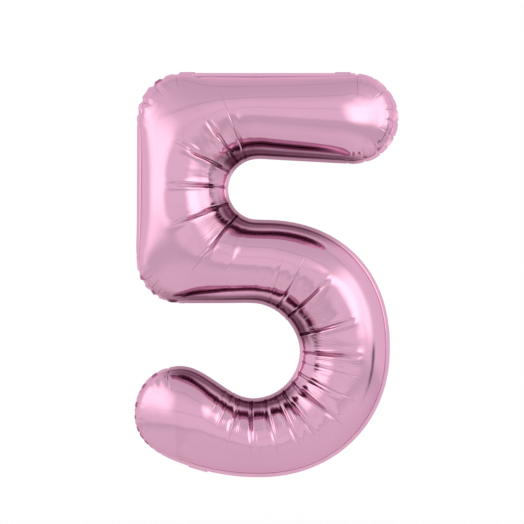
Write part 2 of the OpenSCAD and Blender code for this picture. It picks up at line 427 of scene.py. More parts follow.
def creases(seam, rng, side):
    """Fold lines of one panel, each from the seam inwards. The back's differ a little."""
    found = []
    loose = 1 if side == BACK else 0
    for centre, fan in ((UPPER_BAY, UPPER_FAN), (LOWER_BAY, LOWER_FAN)):
        for angle, reach, weight in fan:
            angle += loose * rng.uniform(-1.5, 1.5)
            fold = crease(seam, np.array(centre), angle, weight, False)
            fold["length"] = (reach * MM - fold["start"]) * FAN_REACH
            fold["length"] *= 1 + loose * rng.uniform(-0.12, 0.12)
            found.append(fold)
    for centre, turn in (BAR_END, TOP_CORNER, MID_CORNER, HOOK_END):
        for angle, length, weight in turn:
            fold = crease(seam, np.array(centre) * MM, angle, weight, True)
            found.append({**fold, "length": length * PUCKER_REACH * MM})
    return found


def along_and_off(points, fold):
    """How far along a fold line, and how far to its side, each point lies in the seam plane."""
    rx, rz = points[..., 0] - fold["at"][0], points[..., 2] - fold["at"][1]
    wx, wz = fold["way"]
    return rx * wx + rz * wz, rz * wx - rx * wz


def reached(run, off, fold, aside):
    """Which points a fold changes: beside its line, and from just outside the seam to its end."""
    return (np.abs(off) < aside) & (run > -FOLD_OVERLAP) & (run < fold["length"])


LINKS = (((1, 0), (0, 0)), ((0, 1), (0, 0)), ((1, 1), (0, 0)), ((1, 0), (0, 1)))


def ends(x, link):
    (a, b), (c, d) = link

    def part(high, spans):
        return slice(1, None) if high else slice(None, -1 if spans else None)

    return (x[:, part(a, a or c), part(b, b or d)], x[:, part(c, a or c), part(d, b or d)])


def joined(x):
    """The two panels share the seam."""
    for edge in (x[:, :, 0], x[:, :, -1], x[:, 0], x[:, -1]):
        edge[:] = (edge[FRONT] + edge[BACK]) / 2
    return x


def film_lengths(shape, slack, folds):
    """Rest length of every link of the film, with the surplus that each fold takes up."""
    out = []
    along = None
    for k, link in enumerate(LINKS):
        p, q = ends(shape, link)
        length = np.linalg.norm(p - q, axis=-1)
        extra = np.zeros(length.shape)
        if k == 0:
            along = length
        if k != 1:
            sp, sq = ends(slack[None, ..., None], link)
            share = 1 if k == 0 else ((along[:, :, 1:] + along[:, :, :-1]) / 2 / length) ** 2
            extra += ((sp + sq) / 2)[..., 0] * share
        for side in (FRONT, BACK):
            middle, unit = (p[side] + q[side]) / 2, (p[side] - q[side]) / length[side][..., None]
            for fold in folds[side]:
                run, off = along_and_off(middle, fold)
                near = reached(run, off, fold, 4 * fold["spread"])
                if near.any():
                    fade = (1 - np.clip(run[near] / fold["length"], 0, 1)) ** 0.6
                    hump = np.exp(-off[near] ** 2 / (2 * fold["spread"] ** 2))
                    cross = unit[near][:, 2] * fold["way"][0] - unit[near][:, 0] * fold["way"][1]
                    extra[side][near] += (fold["excess"] / (fold["spread"] * math.sqrt(2 * math.pi))
                                          * hump * fade * cross**2)
        out.append((length * (1 + extra))[..., None].astype(np.float32))
    return out


def outward(x):
    n = np.cross(np.gradient(x, axis=1), np.gradient(x, axis=2))
    n /= np.linalg.norm(n, axis=-1, keepdims=True) + 1e-12
    turned = np.sign(n[..., 1].mean((1, 2)) * SIGN)
    return n * turned[:, None, None, None]


def grooved(x, folds):
    """Starting folds pressed in along the creases."""
    depth = np.zeros(x.shape[:3])
    for side in (FRONT, BACK):
        for fold in folds[side]:
            run, off = along_and_off(x[side], fold)
            near = reached(run, off, fold, 4 * fold["width"])
            fade = np.clip(run / (8 * MM), 0, 1) * np.sqrt(np.clip(1 - run / fold["length"], 0, 1))
            press = fold["depth"] * np.exp(-(off / fold["width"]) ** 2) * fade
            depth[side] = np.maximum(depth[side], np.where(near, press, 0))
    return x - outward(x) * depth[..., None]


def fold_line(x, folds):
    """How far each point is to the side of the nearest drawn crease, and how strong that crease is."""
    nearest, strength = np.full(x.shape[:2], 1.0), np.zeros(x.shape[:2])
    for fold in folds:
        if fold["fan"] or fold["weight"] >= SURE_PUCKER:
            run, off = along_and_off(x, fold)
            closer = reached(run, off, fold, np.abs(nearest))
            nearest[closer] = off[closer]
            fade = np.sqrt(np.clip(1 - run / (0.86 * fold["length"]), 0, 1))
            fade = fade * min(fold["depth"] / FAN_GROOVE[0], 1.2)
            strength[closer] = (fade * smooth((8 * MM - np.abs(off)) / (3 * MM)))[closer]
    return nearest, strength


def notched(x, folds):
    """The seam's own line, drawn in at each pucker."""
    out = x.copy()
    for fold in folds:
        if not fold["fan"]:
            run, off = along_and_off(x, fold)
            near = (np.abs(off) < 30 * MM) & (run > -20 * MM) & (run < 50 * MM)
            pull = (NOTCH * fold["weight"] * np.exp(-np.abs(off) / (5 * MM))
                    * np.exp(-np.clip(run, 0, None) / (10 * MM)) * near)
            out[..., 0] += pull * fold["way"][0]
            out[..., 2] += pull * fold["way"][1]
    return out


def inflated(x, seam_target, rest, rounds, bend, pressure=0.2, squeeze=0.6):
    """Film that hardly stretches, blown up: projective dynamics with conjugate gradients."""
    x, seam_target = x.astype(np.float32), seam_target.astype(np.float32)
    border = np.zeros(x.shape[1:3] + (1,), np.float32)
    border[[0, -1]] = 1
    border[:, [0, -1]] = 1
    inertia, momentum = 0.02, 0.85
    hold = border * np.array([0.05, 0.015, 0.05], np.float32)
    hold[..., 1] += 0.3 * border[..., 0] * beside_hinges(seam_target[FRONT]).astype(np.float32)

    def system(v):
        out = v * (inertia + hold)
        for link in LINKS:
            p, q = ends(v, link)
            d = p - q
            op, oq = ends(out, link)
            op += d
            oq -= d
        for along, total in ((v, out), (v.swapaxes(1, 2), out.swapaxes(1, 2))):
            c = bend * (along[:, 2:] - 2 * along[:, 1:-1] + along[:, :-2])
            total[:, 2:] += c
            total[:, :-2] += c
            total[:, 1:-1] -= 2 * c
        return joined(out)

    before = x.copy()
    signs = np.array(SIGN, np.float32)[:, None, None, None]
    for _ in range(rounds):
        y = x + momentum * (x - before)
        b = inertia * y + hold * seam_target
        for link, length in zip(LINKS, rest):
            p, q = ends(y, link)
            d = p - q
            ratio = length / (np.sqrt((d * d).sum(-1, keepdims=True)) + 1e-9)
            d *= np.where(ratio < 1, ratio, 1 + squeeze * (ratio - 1))
            bp, bq = ends(b, link)
            bp += d
            bq -= d
        push = np.cross(y[:, 1:, 1:] - y[:, :-1, :-1], y[:, 1:, :-1] - y[:, :-1, 1:])
        push *= signs * (pressure / 8)
        for part in (b[:, 1:, 1:], b[:, :-1, :-1], b[:, 1:, :-1], b[:, :-1, 1:]):
            part += push
        z = joined(y)
        z = conjugate(system, z, joined(b) - system(z), 12)
        before, x = x, z
    return x


def resampled(a, shape):
    """A grid of vectors on another grid, cubic along both ways."""
    for axis, count in ((1, shape[0]), (2, shape[1])):
        a = np.moveaxis(a, axis, 0)
        t = np.linspace(0, len(a) - 1, count)
        i = np.clip(np.floor(t).astype(int), 0, len(a) - 2)
        f = (t - i).reshape((-1,) + (1,) * (a.ndim - 1))
        e = np.concatenate([2 * a[:1] - a[1:2], a, 2 * a[-1:] - a[-2:-1]])
        p0, p1, p2, p3 = e[i], e[i + 1], e[i + 2], e[i + 3]
        a = p1 + 0.5 * f * (p2 - p0 + f * (2 * p0 - 5 * p1 + 4 * p2 - p3
                                           + f * (3 * (p1 - p2) + p3 - p0)))
        a = np.moveaxis(a, 0, axis)
    return a


rng = np.random.default_rng(5)
SEAM = seam_loop(panel_outline(frame["nodes"]["front_panel"]))
PLAN = ribs(SEAM)
FOLDS = [creases(SEAM, rng, side) for side in (FRONT, BACK)]
panels, moved = None, None
for cell, rounds in COARSE + (((FINE,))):
    half = smooth_tube(PLAN, cell)
    tube = np.stack([half, half])
    tube[FRONT, ..., 1] *= -1
    panels = tube if moved is None else tube + resampled(moved, half.shape[:2])
    extra, from_inner = surplus(half)
    if cell > COARSE[-1][0]:
        panels = inflated(panels, tube, film_lengths(tube, 0 * extra, [[], []]), rounds, COARSE_BEND)
    else:
        if cell == COARSE[-1][0]:
            panels = grooved(panels, FOLDS)
        slack = SLACK * extra * np.clip((0.7 - from_inner) / 0.4, 0, 1)
        panels = inflated(panels, notched(tube, FOLDS[FRONT]), film_lengths(tube, slack, FOLDS),
                          rounds, FINE_BEND)
    moved = panels - tube
for _ in range(RIB_EVEN):
    moved[:, 1:-1, 1:-1] = (moved[:, 1:-1, :-2] + 2 * moved[:, 1:-1, 1:-1] + moved[:, 1:-1, 2:]) / 4
panels = tube + moved


# ---------------- the flat welded margin
FLANGE_RINGS = 3
PLY_GAP = 0.1 * MM
RUFFLE, PUCKER_DIP, DIP_REACH = 2.2 * MM, 1 * MM, 3 * MM
RUFFLE_SPAN = 70 * MM  # puckers further apart than this leave the margin flat
WAVES = ((0.15 * MM, 61, 1.0), (0.12 * MM, 97, 2.4), (0.08 * MM, 163, 0.3))
# painted shade: film beside a seam that faces another tube is darkened in its base colour, for the
# shade that tube casts
NOOK_GAP = (220 * MM, 330 * MM)  # another tube this near shades the seam fully, or not at all
NOOK_BAND = (30 * MM, 54 * MM)  # the shade's whole strength and its end, along the film
NOOK_BLUR = 24  # grid points
# strength of that painted shade on the film, and the share of it on the margin
NOOK_PAINTED_SHADE, NOOK_MARGIN_SHADE = 0.93, 0.45
SHARP_SEAM = 0.3  # the seam is a sharp edge where its painted shade mask is more than this


def border_loop(grid):
    """The grid's edge points in order, as flat indices."""
    ids = np.arange(grid.shape[0] * grid.shape[1]).reshape(grid.shape[:2])
    return np.concatenate([ids[:-1, 0], ids[-1, :-1], ids[:0:-1, -1], ids[0, :0:-1]])


def seam_out(edge):
    """Unit vectors in the seam plane that point out of the envelope."""
    out = to_the_left(edge[:, [0, 2]])
    turned = np.sum(out * (edge - edge.mean(0))[:, [0, 2]], 1).mean()
    return -out if turned < 0 else out


def facing(edge):
    """1 where a seam point looks at another tube across a bay, 0 where it looks at open space: the
    mask for the painted shade beside the seam.
    """
    points, out = edge[:, [0, 2]], seam_out(edge)
    seen = np.zeros(len(points))
    for k, (start, way) in enumerate(zip(points + out * 1.5 * MARGIN, out)):
        rel = points - start
        off = rel @ np.array([-way[1], way[0]])
        run = rel @ way
        cross = ((off <= 0) != (np.roll(off, -1) <= 0)) & (run > 0)
        seen[k] = run[cross].min() if cross.any() else 1
    near = smooth((NOOK_GAP[1] - seen) / (NOOK_GAP[1] - NOOK_GAP[0]))
    return blurred(np.concatenate([near[-NOOK_BLUR:], near, near[:NOOK_BLUR]]), NOOK_BLUR)


def nook_shade(near, shape):
    """How much painted shade the grid gets: full beside a facing seam, none once the film turns to the
    front.
    """
    edge = np.zeros(shape[0] * shape[1])
    edge[border_loop(np.empty(shape))] = near
    edge = edge.reshape(shape)
    away = np.arange(shape[1]) * CELL
    fade = smooth((NOOK_BAND[1] - away) / (NOOK_BAND[1] - NOOK_BAND[0]))
    return NOOK_PAINTED_SHADE * np.clip(edge[:, :1] * fade + edge[:, -1:] * fade[::-1], 0, 1)


def pucker_marks(edge, s):
    """Where along the seam each pucker starts, and its weight."""
    marks = []
    for fold in FOLDS[FRONT]:
        if not fold["fan"]:
            k = int(np.argmin(np.hypot(edge[:, 0] - fold["at"][0], edge[:, 2] - fold["at"][1])))
            marks.append((s[k], fold["weight"]))
    return sorted(marks)


def flange(edge, plain_edge, rng):
    """Rings of points outside the seam, ruffled where the seam turns outwards."""
    out = seam_out(plain_edge)
    s = lengths(plain_edge)
    round_it = s[-1] + np.linalg.norm(plain_edge[0] - plain_edge[-1])
    lift, dip = np.zeros(len(edge)), np.zeros(len(edge))
    marks = pucker_marks(plain_edge, s)
    for (s0, w0), (s1, _) in zip(marks, marks[1:] + [(marks[0][0] + round_it, 0)]):
        tilt = rng.uniform(-1, 1)
        if s1 - s0 < RUFFLE_SPAN:
            t = ((s - s0) % round_it) / (s1 - s0)
            on = t < 1
            lift[on] += tilt * RUFFLE * np.sin(math.pi * t[on]) ** 0.7
        d = np.abs((s - s0 + round_it / 2) % round_it - round_it / 2)
        dip += w0 * PUCKER_DIP * np.exp(-d / DIP_REACH)
    width = MARGIN + BAR_MARGIN * bar_end(plain_edge[:, 0], plain_edge[:, 2], 55 * MM) - dip
    lift += sum(a * np.sin(2 * math.pi * s / round_it * n + p) for a, n, p in WAVES)
    lift *= 1 - beside_hinges(plain_edge)
    rings = []
    for share in np.arange(1, FLANGE_RINGS + 1) / FLANGE_RINGS:
        ring = edge.copy()
        ring[:, [0, 2]] += out * (width * share)[:, None]
        ring[:, 1] = edge[:, 1] * (1 - 0.5 * share) + lift * share**1.5
        rings.append(ring)
    return rings, s


# ---------------- film as meshes
def grid_faces(ni, nj):
    ids = np.arange(ni * nj).reshape(ni, nj)
    return np.stack([ids[:-1, :-1], ids[1:, :-1], ids[1:, 1:], ids[:-1, 1:]], -1).reshape(-1, 4)


def band(a, b):
    """Faces between closed loops of points."""
    return np.stack([a, np.roll(a, -1, -1), np.roll(b, -1, -1), b], -1).reshape(-1, 4)


def film_object(name, points, faces, uv, values):
    """A smooth sheet with UV in metres, and a number at each point for each finish value."""
    mesh = bpy.data.meshes.new(name)
    mesh.from_pydata(points.tolist(), [], faces.tolist())
    mesh.validate()
    mesh.shade_smooth()
    corner = np.empty(len(mesh.loops), int)
    mesh.loops.foreach_get("vertex_index", corner)
    mesh.uv_layers.new(name="film").data.foreach_set("uv", uv[corner].ravel())
    for label, numbers in values.items():
        spread = mesh.attributes.new(label, "FLOAT", "POINT")
        spread.data.foreach_set("value", numbers.astype(np.float32))
    thing = bpy.data.objects.new(name, mesh)
    bpy.context.scene.collection.objects.link(thing)
    return thing


def foil_mesh(name, side, grid, rings, run, near, marks):
    """One panel with its margin. UV is in metres along and across the film."""
    ni, nj = grid.shape[:2]
    loop = border_loop(grid)
    points = grid.reshape(-1, 3).copy()
    points[loop, 1] += SIGN[side] * PLY_GAP
    on_grid = size = len(points)
    all_points, all_faces, last = [points], [grid_faces(ni, nj)], loop
    for ring in rings:
        new = size + np.arange(len(ring))
        all_points.append(ring + np.array([0, SIGN[side] * PLY_GAP, 0]))
        all_faces.append(band(last, new))
        last, size = new, size + len(ring)
    inner = len(all_faces[0])
    points, faces = np.concatenate(all_points), np.concatenate(all_faces)
    for part in (slice(0, inner), slice(inner, None)):
        a, b, c = (points[faces[part, k]] for k in (0, 1, 2))
        if np.cross(b - a, c - a)[:, 1].sum() * SIGN[side] < 0:
            faces[part] = faces[part, ::-1].copy()
    uv = np.zeros((len(points), 2))
    uv[:on_grid] = np.indices((ni, nj)).reshape(2, -1).T * CELL
    for k in range(len(rings)):
        part = slice(on_grid + k * len(loop), on_grid + (k + 1) * len(loop))
        uv[part, 0] = run
        uv[part, 1] = -0.1 - MARGIN * (k + 1) / len(rings)  # well apart from the panel's own
    values = {"weld": np.ones(len(points))}
    values["weld"][:on_grid] = 0
    values["weld"][loop] = 0.5
    for label, numbers in marks.items():
        values[label] = np.zeros(len(points))
        values[label][:on_grid] = numbers.ravel()
    # the margin gets a share of the painted shade beside seams that face another tube
    values["painted_nook_shade"][on_grid:] = np.tile(NOOK_MARGIN_SHADE * near, len(rings))
    thing = film_object(name, points, faces, uv, values)
    edges = thing.data.edges
    ends_of = np.empty(2 * len(edges), int)
    edges.foreach_get("vertices", ends_of)
    seam = np.full(len(points), -1.0)
    seam[loop] = near
    seam = seam[ends_of.reshape(-1, 2)]
    sharp = (seam >= 0).all(1) & (seam > SHARP_SEAM).any(1)
    thing.data.attributes.new("sharp_edge", "BOOLEAN", "EDGE").data.foreach_set("value", sharp)
    return thing


CELL = FINE[0]
edge_ids = border_loop(half)
plain_edge = tube[FRONT].reshape(-1, 3)[edge_ids]
rings, run = flange(panels[FRONT].reshape(-1, 3)[edge_ids].astype(float), plain_edge, rng)
near = facing(plain_edge)
gather = np.clip(extra / 0.25, 0, 1) * np.clip((0.66 - from_inner) / 0.36, 0, 1)
FOIL = []
for side, name in ((FRONT, "front_foil"), (BACK, "back_foil")):
    off, strength = fold_line(tube[side], FOLDS[side])
    # the film's painted shade beside seams that face another tube
    marks = {"gather": gather, "fold_off": off, "fold_size": strength,
             "painted_nook_shade": nook_shade(near, half.shape[:2])}
    FOIL.append(foil_mesh(name, side, panels[side].astype(float), rings, run, near, marks))
for side, thing in enumerate(FOIL):
    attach(thing, "envelope")
    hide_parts(("front_panel", "back_panel")[side])
    ("foil_front", "foil_back")[side]


# ---------------- shader nodes
def node_tree(name):
    material = bpy.data.materials.new(name)
    material.use_nodes = True
    return material, material.node_tree, material.node_tree.nodes["Principled BSDF"]


def node(tree, kind, inputs, output=0, **settings):
    """An output of a new shader node. Its inputs are numbers, colours or other nodes' outputs."""
    made = tree.nodes.new("ShaderNode" + kind)
    for label, value in settings.items():
        setattr(made, label, value)
    fill(tree, made, inputs)
    return made.outputs[output]


def fill(tree, made, inputs):
    for label, value in inputs.items():
        if isinstance(value, bpy.types.NodeSocket):
            tree.links.new(value, made.inputs[label])
        else:
            made.inputs[label].default_value = value


def number(tree, kind, *values):
    return node(tree, "Math", dict(enumerate(values)), operation=kind)


def times(tree, product, *others):
    for value in others:
        product = number(tree, "MULTIPLY", product, value)
    return product


def plus(tree, total, value, share):
    """The total, and a share of the value."""
    return number(tree, "MULTIPLY_ADD", value, share, total)


def ramp(tree, value, low, high, at_low, at_high):
    """A smooth step from one value to another."""
    names = ("Value", "From Min", "From Max", "To Min", "To Max")
    return node(tree, "MapRange", dict(zip(names, (value, low, high, at_low, at_high))),
                interpolation_type="SMOOTHSTEP")


def bell(tree, off):
    """exp(-off squared)."""
    return number(tree, "POWER", math.e, times(tree, off, off, -1))


def attribute(tree, label):
    return node(tree, "Attribute", {}, "Fac", attribute_name=label)


def film_uv(tree, scale=(1, 1, 1)):
    """The film's own coordinates in metres, stretched."""
    return node(tree, "Mapping", {"Vector": node(tree, "UVMap", {}, uv_map="film"), "Scale": scale})


def noise(tree, vector, scale, detail=2.0, rough=0.5):
    return node(tree, "TexNoise", {"Vector": vector, "Scale": scale, "Detail": detail,
                                   "Roughness": rough}, "Fac")


def wave(tree, scale, distortion, detail, detail_scale):
    """Bars across the film, one after another along it."""
    return node(tree, "TexWave", {"Vector": film_uv(tree), "Scale": scale, "Distortion": distortion,
                                  "Detail": detail, "Detail Scale": detail_scale}, "Fac",
                bands_direction="X")


def mixed(tree, factor, a, b):
    return node(tree, "Mix", {"Factor": factor, "A": a, "B": b}, "Result", data_type="RGBA")


def bump(tree, height, distance=1.0):
    return node(tree, "Bump", {"Height": height, "Distance": distance})


# ---------------- foil
FOIL_COLOUR = (0.76, 0.42, 0.585)
TAB_COLOUR = (0.74, 0.41, 0.57)
SHADE_COLOUR = (0.09, 0.008, 0.035, 1)  # painted shade: film in a nook, on a ripple line or at the bottom of a crease
EDGE_TINT = (0.97, 0.72, 0.85, 1)
GLOSS = (0.055, 0.13)  # roughness, smoothest and roughest
WELD_ROUGH = 0.10
# CREASE_SHADE is the share of painted shade along the bottom of each crease
CREASE_WIDTH, CREASE_DEPTH, CREASE_SHADE = 1 * MM, 0.9 * MM, 0.5
# RIPPLE_SHADE is the share of painted shade along the ripple lines
RIPPLE_DEPTH, RIPPLE_SHADE = 0.6 * MM, 0.24
PRESSED_DEPTH, UNEVEN_DEPTH = 0.015 * MM, 0.1 * MM


def foil_material(name, colour):
    """Mirror film with ripples along the ribs, crease lines, the weld's pattern, and painted shade in
    nooks, creases and ripple lines.
    """
    material, tree, shader = node_tree(name)
    place = node(tree, "TexCoord", {}, "Object")
    weld = attribute(tree, "weld")
    # fine ripples that follow the ribs, in patches between the creases
    patches = ramp(tree, noise(tree, place, 16, 1), 0.44, 0.56, 0, 1)
    ripple_size = times(tree, attribute(tree, "gather"), patches)
    lines = wave(tree, 74, 1.6, 1, 0.3)
    soft_lines = times(tree, noise(tree, film_uv(tree, (300, 9, 1)), 1, 1.5, 0.45), 0.7)
    ripples = times(tree, plus(tree, soft_lines, lines, 0.27), ripple_size)
    # the margin's pressed pattern, and the sharp line at the bottom of each crease
    pressed = times(tree, wave(tree, 90, 0.6, 2, 1), weld)
    crease_line = bell(tree, number(tree, "DIVIDE", attribute(tree, "fold_off"), CREASE_WIDTH))
    crease_line = times(tree, crease_line, attribute(tree, "fold_size"))
    height = plus(tree, times(tree, pressed, PRESSED_DEPTH), ripples, RIPPLE_DEPTH)
    height = plus(tree, height, noise(tree, place, 22, 3, 0.55), UNEVEN_DEPTH)
    height = plus(tree, height, crease_line, -CREASE_DEPTH)
    # painted shade: the base colour darkens toward SHADE_COLOUR in creases, along ripples, and beside
    # a seam that faces another tube, where less light reaches
    tone = mixed(tree, noise(tree, place, 5), (*colour, 1), (*(c * 0.94 for c in colour), 1))
    # painted shade on the thin ripple lines, and on the film beside seams that face another tube
    thin = times(tree, number(tree, "POWER", lines, 3), ripple_size)
    dark = plus(tree, attribute(tree, "painted_nook_shade"), thin, RIPPLE_SHADE)
    # painted shade along each crease line, added on top of the rest
    dark = number(tree, "MINIMUM", plus(tree, dark, crease_line, CREASE_SHADE), 1)
    # softer gloss on the weld and in faint rubbed areas
    rough = plus(tree, GLOSS[0], noise(tree, place, 9, 4, 0.6), GLOSS[1] - GLOSS[0])
    fill(tree, shader, {"Metallic": 1, "Specular Tint": EDGE_TINT, "Normal": bump(tree, height),
                        "Roughness": plus(tree, rough, weld, WELD_ROUGH),
                        "Base Color": mixed(tree, dark, tone, SHADE_COLOUR)})
    return material


FOIL_SKIN = [foil_material(name, FOIL_COLOUR) for name in ("foil_front", "foil_back")]
for thing, skin in zip(FOIL, FOIL_SKIN):
    thing.data.materials.append(skin)


# ---------------- tail, tabs and valve
BACKWARD = np.array([0, 1, 0])
FOLD_R = 1.5 * MM  # radius of a film fold at rest
ROOT = 2.5 * MM  # how far a tail or tab reaches up the margin
FOLD_CLEAR, FOLD_STEPS = 4.5 * MM, 16  # where the fold's bend ends, and the rows spent on it
TAIL_WIDTH, TAIL_LENGTH, VALVE_WIDTH, VALVE_END = 34 * MM, 62 * MM, 22 * MM, 56 * MM
TAIL_ROWS, TAIL_COLUMNS = 40, 24
TAIL_FLARE, FLARE_REACH = 5 * MM, 12 * MM
TAIL_GAP, VALVE_GAP = 0.55 * MM, 0.2 * MM
TAIL_SWAY, TAIL_CURL = 0.5 * MM, 0.7 * MM
TAIL_WELD = (0.72, 0.78)  # the side weld's edges, as shares of half the width
HOLE_R, HOLE_DOWN = 3.5 * MM, 13 * MM  # an eyelet, and how far its middle is below the hinge
TAB_FLARE, TAB_BOW, TAB_WELD = 4 * MM, 0.7 * MM, 0.6
RIM_R, RIM_HEIGHT = 5.2 * MM, 0.18 * MM  # the pressed ring round an eyelet
TAB_FILM = 0.3 * MM


def folded(s, off, hinge, out):
    """Place of a point s along a strip that leaves the seam plane and folds back, off its middle."""
    a = np.clip(s / FOLD_R, 0, math.pi / 2)[..., None]
    beyond = np.clip(s - FOLD_R * math.pi / 2, 0, None)[..., None]
    below = np.clip(s, None, 0)[..., None]
    line = hinge - out * FOLD_R + out * (FOLD_R * np.sin(a) + below)
    line = line + BACKWARD * (FOLD_R * (1 - np.cos(a)) + beyond)
    return line + off[..., None] * (out * np.sin(a) - BACKWARD * np.cos(a))


def joint_frame(name):
    """A fold's middle, its line, and the way out of the envelope."""
    joint = JOINTS[name]
    hinge, along = np.array(joint["pos_m"]), np.array(joint["axis"], float)
    out = np.array([-along[2], 0, along[0]])
    inward = np.array([0, 0, MIDDLE.z]) - hinge
    return hinge, along, (-out if out @ inward > 0 else out)


def plain_sheet(name, points, faces, material, weld):
    """Film away from the panels: its UV is its place, and its finish has no ripples."""
    points = points.reshape(-1, 3)
    values = {"weld": np.broadcast_to(weld, len(points)), "gather": np.zeros(len(points))}
    thing = film_object(name, points, faces, points[:, :2], values)
    thing.data.materials.append(material)
    return thing


def across_fold(thing, name):
    """Bakes a piece's placement into its mesh. The fold's frame is looked up but not used."""
    hinge, _, out = joint_frame(name)
    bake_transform(thing)


def tail_sheet(name, face, width, stop, gap, material):
    """One ply of the tail, or one valve film inside it. face is -1 in front and 1 behind."""
    hinge, along, out = joint_frame("tail_fold")
    end = stop - FOLD_R + FOLD_R * math.pi / 2
    s = np.concatenate([np.linspace(-ROOT, FOLD_CLEAR, FOLD_STEPS, endpoint=False),
                        np.linspace(FOLD_CLEAR, end, TAIL_ROWS - FOLD_STEPS)])[:, None]
    v = np.linspace(-1, 1, TAIL_COLUMNS)[None, :]
    flare = TAIL_FLARE * (1 - smooth((s + ROOT) / FLARE_REACH)) if width > VALVE_WIDTH else 0
    side = v * (width / 2 + flare)
    loose = smooth(s / FLARE_REACH)
    puff = gap * (1 - v**4) * (0.35 + 0.65 * loose)
    sway = TAIL_SWAY * np.sin(s / (13 * MM) + 0.6) * loose * (1 + 0.3 * np.sin(2.2 * v + 0.5))
    curl = TAIL_CURL * loose * np.clip(s / stop, 0, 1) * v * np.abs(v)
    off = -face * (0.12 * MM + puff) + sway + curl
    s, side, off = np.broadcast_arrays(s, side, off)
    points = folded(s, off, hinge, out) + side[..., None] * along
    weld = smooth((np.abs(v) - TAIL_WELD[0]) / (TAIL_WELD[1] - TAIL_WELD[0]))
    weld = np.broadcast_to(weld, side.shape).ravel()
    thing = plain_sheet(name, points, grid_faces(TAIL_ROWS, TAIL_COLUMNS), material, weld)
    across_fold(thing, "tail_fold")
    return thing


def valve_sheet(name, face, material, rows=30, columns=12):
    """A valve film inside the envelope, from the tail's root up the hook."""
    hinge, along, out = joint_frame("tail_fold")
    lo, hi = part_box("valve_front_film")
    reach = (hi.z - lo.z - VALVE_WIDTH * abs(along[2])) / abs(out[2])
    s = np.linspace(0, 1, rows)[:, None]
    v = np.linspace(-1, 1, columns)[None, :]
    root = hinge - out * (MARGIN + 3 * MM)
    rise = reach * s + 0 * v
    side = v * VALVE_WIDTH / 2 * (1 - 0.06 * s)
    puff = 0.1 * MM + 0.5 * MM * smooth(s * 3) * (1 - v**2)
    off = face * puff + 1.2 * MM * smooth(s * 2) * np.sin(5 * s)
    points = root - rise[..., None] * out + side[..., None] * along + off[..., None] * BACKWARD
    thing = plain_sheet(name, points, grid_faces(rows, columns), material, 0)
    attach(thing, "envelope")
    return thing


def tab_radii(way, half, end):
    """How far a tab's outline is from its eyelet: flared at the root, straight sides, a round end."""
    radii = []
    for wx, wy in way:
        r = np.linspace(0, 40 * MM, 2000)
        x, s = r * wx, HOLE_DOWN + r * wy
        flared = half + TAB_FLARE * (1 - smooth((s + ROOT) / (8 * MM)))
        round_end = np.sqrt(np.clip(half**2 - (s - end + half) ** 2, 0, None))
        limit = np.where(s > end - half, round_end, flared)
        ok = (np.abs(x) <= limit) & (s >= -ROOT) & (s <= end)
        radii.append(r[np.argmin(ok)] if not ok.all() else r[-1])
    return np.array(radii)


def tab_piece(name, joint, node, material, rings=30, segments=96):
    """A hanging tab: two plies welded flat, a round end and a punched eyelet."""
    hinge, along, out = joint_frame(joint)
    lo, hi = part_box(node)
    half = (hi.x - lo.x) / 2
    t = np.arange(segments) / segments * 2 * math.pi
    way = np.stack([np.sin(t), -np.cos(t)], 1)
    radius = HOLE_R + (tab_radii(way, half, hi.y) - HOLE_R) * np.linspace(0, 1, rings)[:, None]
    x = radius * way[:, 0]
    s = HOLE_DOWN + radius * way[:, 1]
    rim = RIM_HEIGHT * np.exp(-((radius - RIM_R) / (0.5 * MM)) ** 2)
    loose = smooth((s - 1 * MM) / (6 * MM))
    bow = TAB_BOW * (x / half) ** 2 * loose - 0.3 * MM * loose
    s = s + FOLD_R * (math.pi / 2 - 1) * np.where(s > FOLD_R, 1, smooth(s / FOLD_R))
    points = folded(s, rim + bow, hinge, out) + x[..., None] * np.array([1, 0, 0])
    ids = np.arange(rings * segments).reshape(rings, segments)
    thing = plain_sheet(name, points, band(ids[:-1], ids[1:]), material, TAB_WELD)
    plies = thing.modifiers.new("two_plies", "SOLIDIFY")
    plies.thickness = TAB_FILM
    plies.offset = 0
    across_fold(thing, joint)
    return thing


def valve_material(name):
    """Thin polyethylene, satin and slightly milky, with a faint machine-direction streak."""
    material, tree, shader = node_tree(name)
    grain = noise(tree, film_uv(tree, (900, 60, 1)), 1)
    tone = mixed(tree, grain, (0.84, 0.84, 0.87, 1), (0.92, 0.92, 0.93, 1))
    fill(tree, shader, {"Base Color": tone, "Roughness": 0.35, "Transmission Weight": 0.35,
                        "IOR": 1.5, "Normal": bump(tree, grain, 0.04 * MM)})
    return material


TAB_FOIL = foil_material("foil_tab", TAB_COLOUR)
VALVE_FILM = valve_material("valve_film")
for face, label, skin in ((-1, "front", FOIL_SKIN[FRONT]), (1, "back", FOIL_SKIN[BACK])):
    ply = tail_sheet(f"tail_{label}_foil", face, TAIL_WIDTH, TAIL_LENGTH, TAIL_GAP, skin)
    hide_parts(f"tail_{label}_ply")
    film = tail_sheet(f"tail_{label}_valve", face, VALVE_WIDTH, VALVE_END, VALVE_GAP, VALVE_FILM)
    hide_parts(f"tail_valve_{label}_film")
    inner = valve_sheet(f"inner_{label}_valve", face, VALVE_FILM)
    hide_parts(f"valve_{label}_film")
for label in ("left", "right"):
    tab = tab_piece(f"{label}_tab_foil", f"{label}_tab_fold", f"hang_tab_{label}", TAB_FOIL)
    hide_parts(f"hang_tab_{label}")


# ---------------- stage, light and camera
WHITE = (1, 1, 1, 1)
LAMP_COLOUR = (1.0, 1.0, 0.86, 1)  # a little warm against the room's white
FLOOR_IN, FLOOR_OUT = 0.9, 2.4  # the floor is whole within the first and gone by the second
FLOOR_DROP = 0.35
VIEW_WIDTH = 1.134  # metres across the picture in the seam plane
LENS, SENSOR = 150, 36  # millimetres
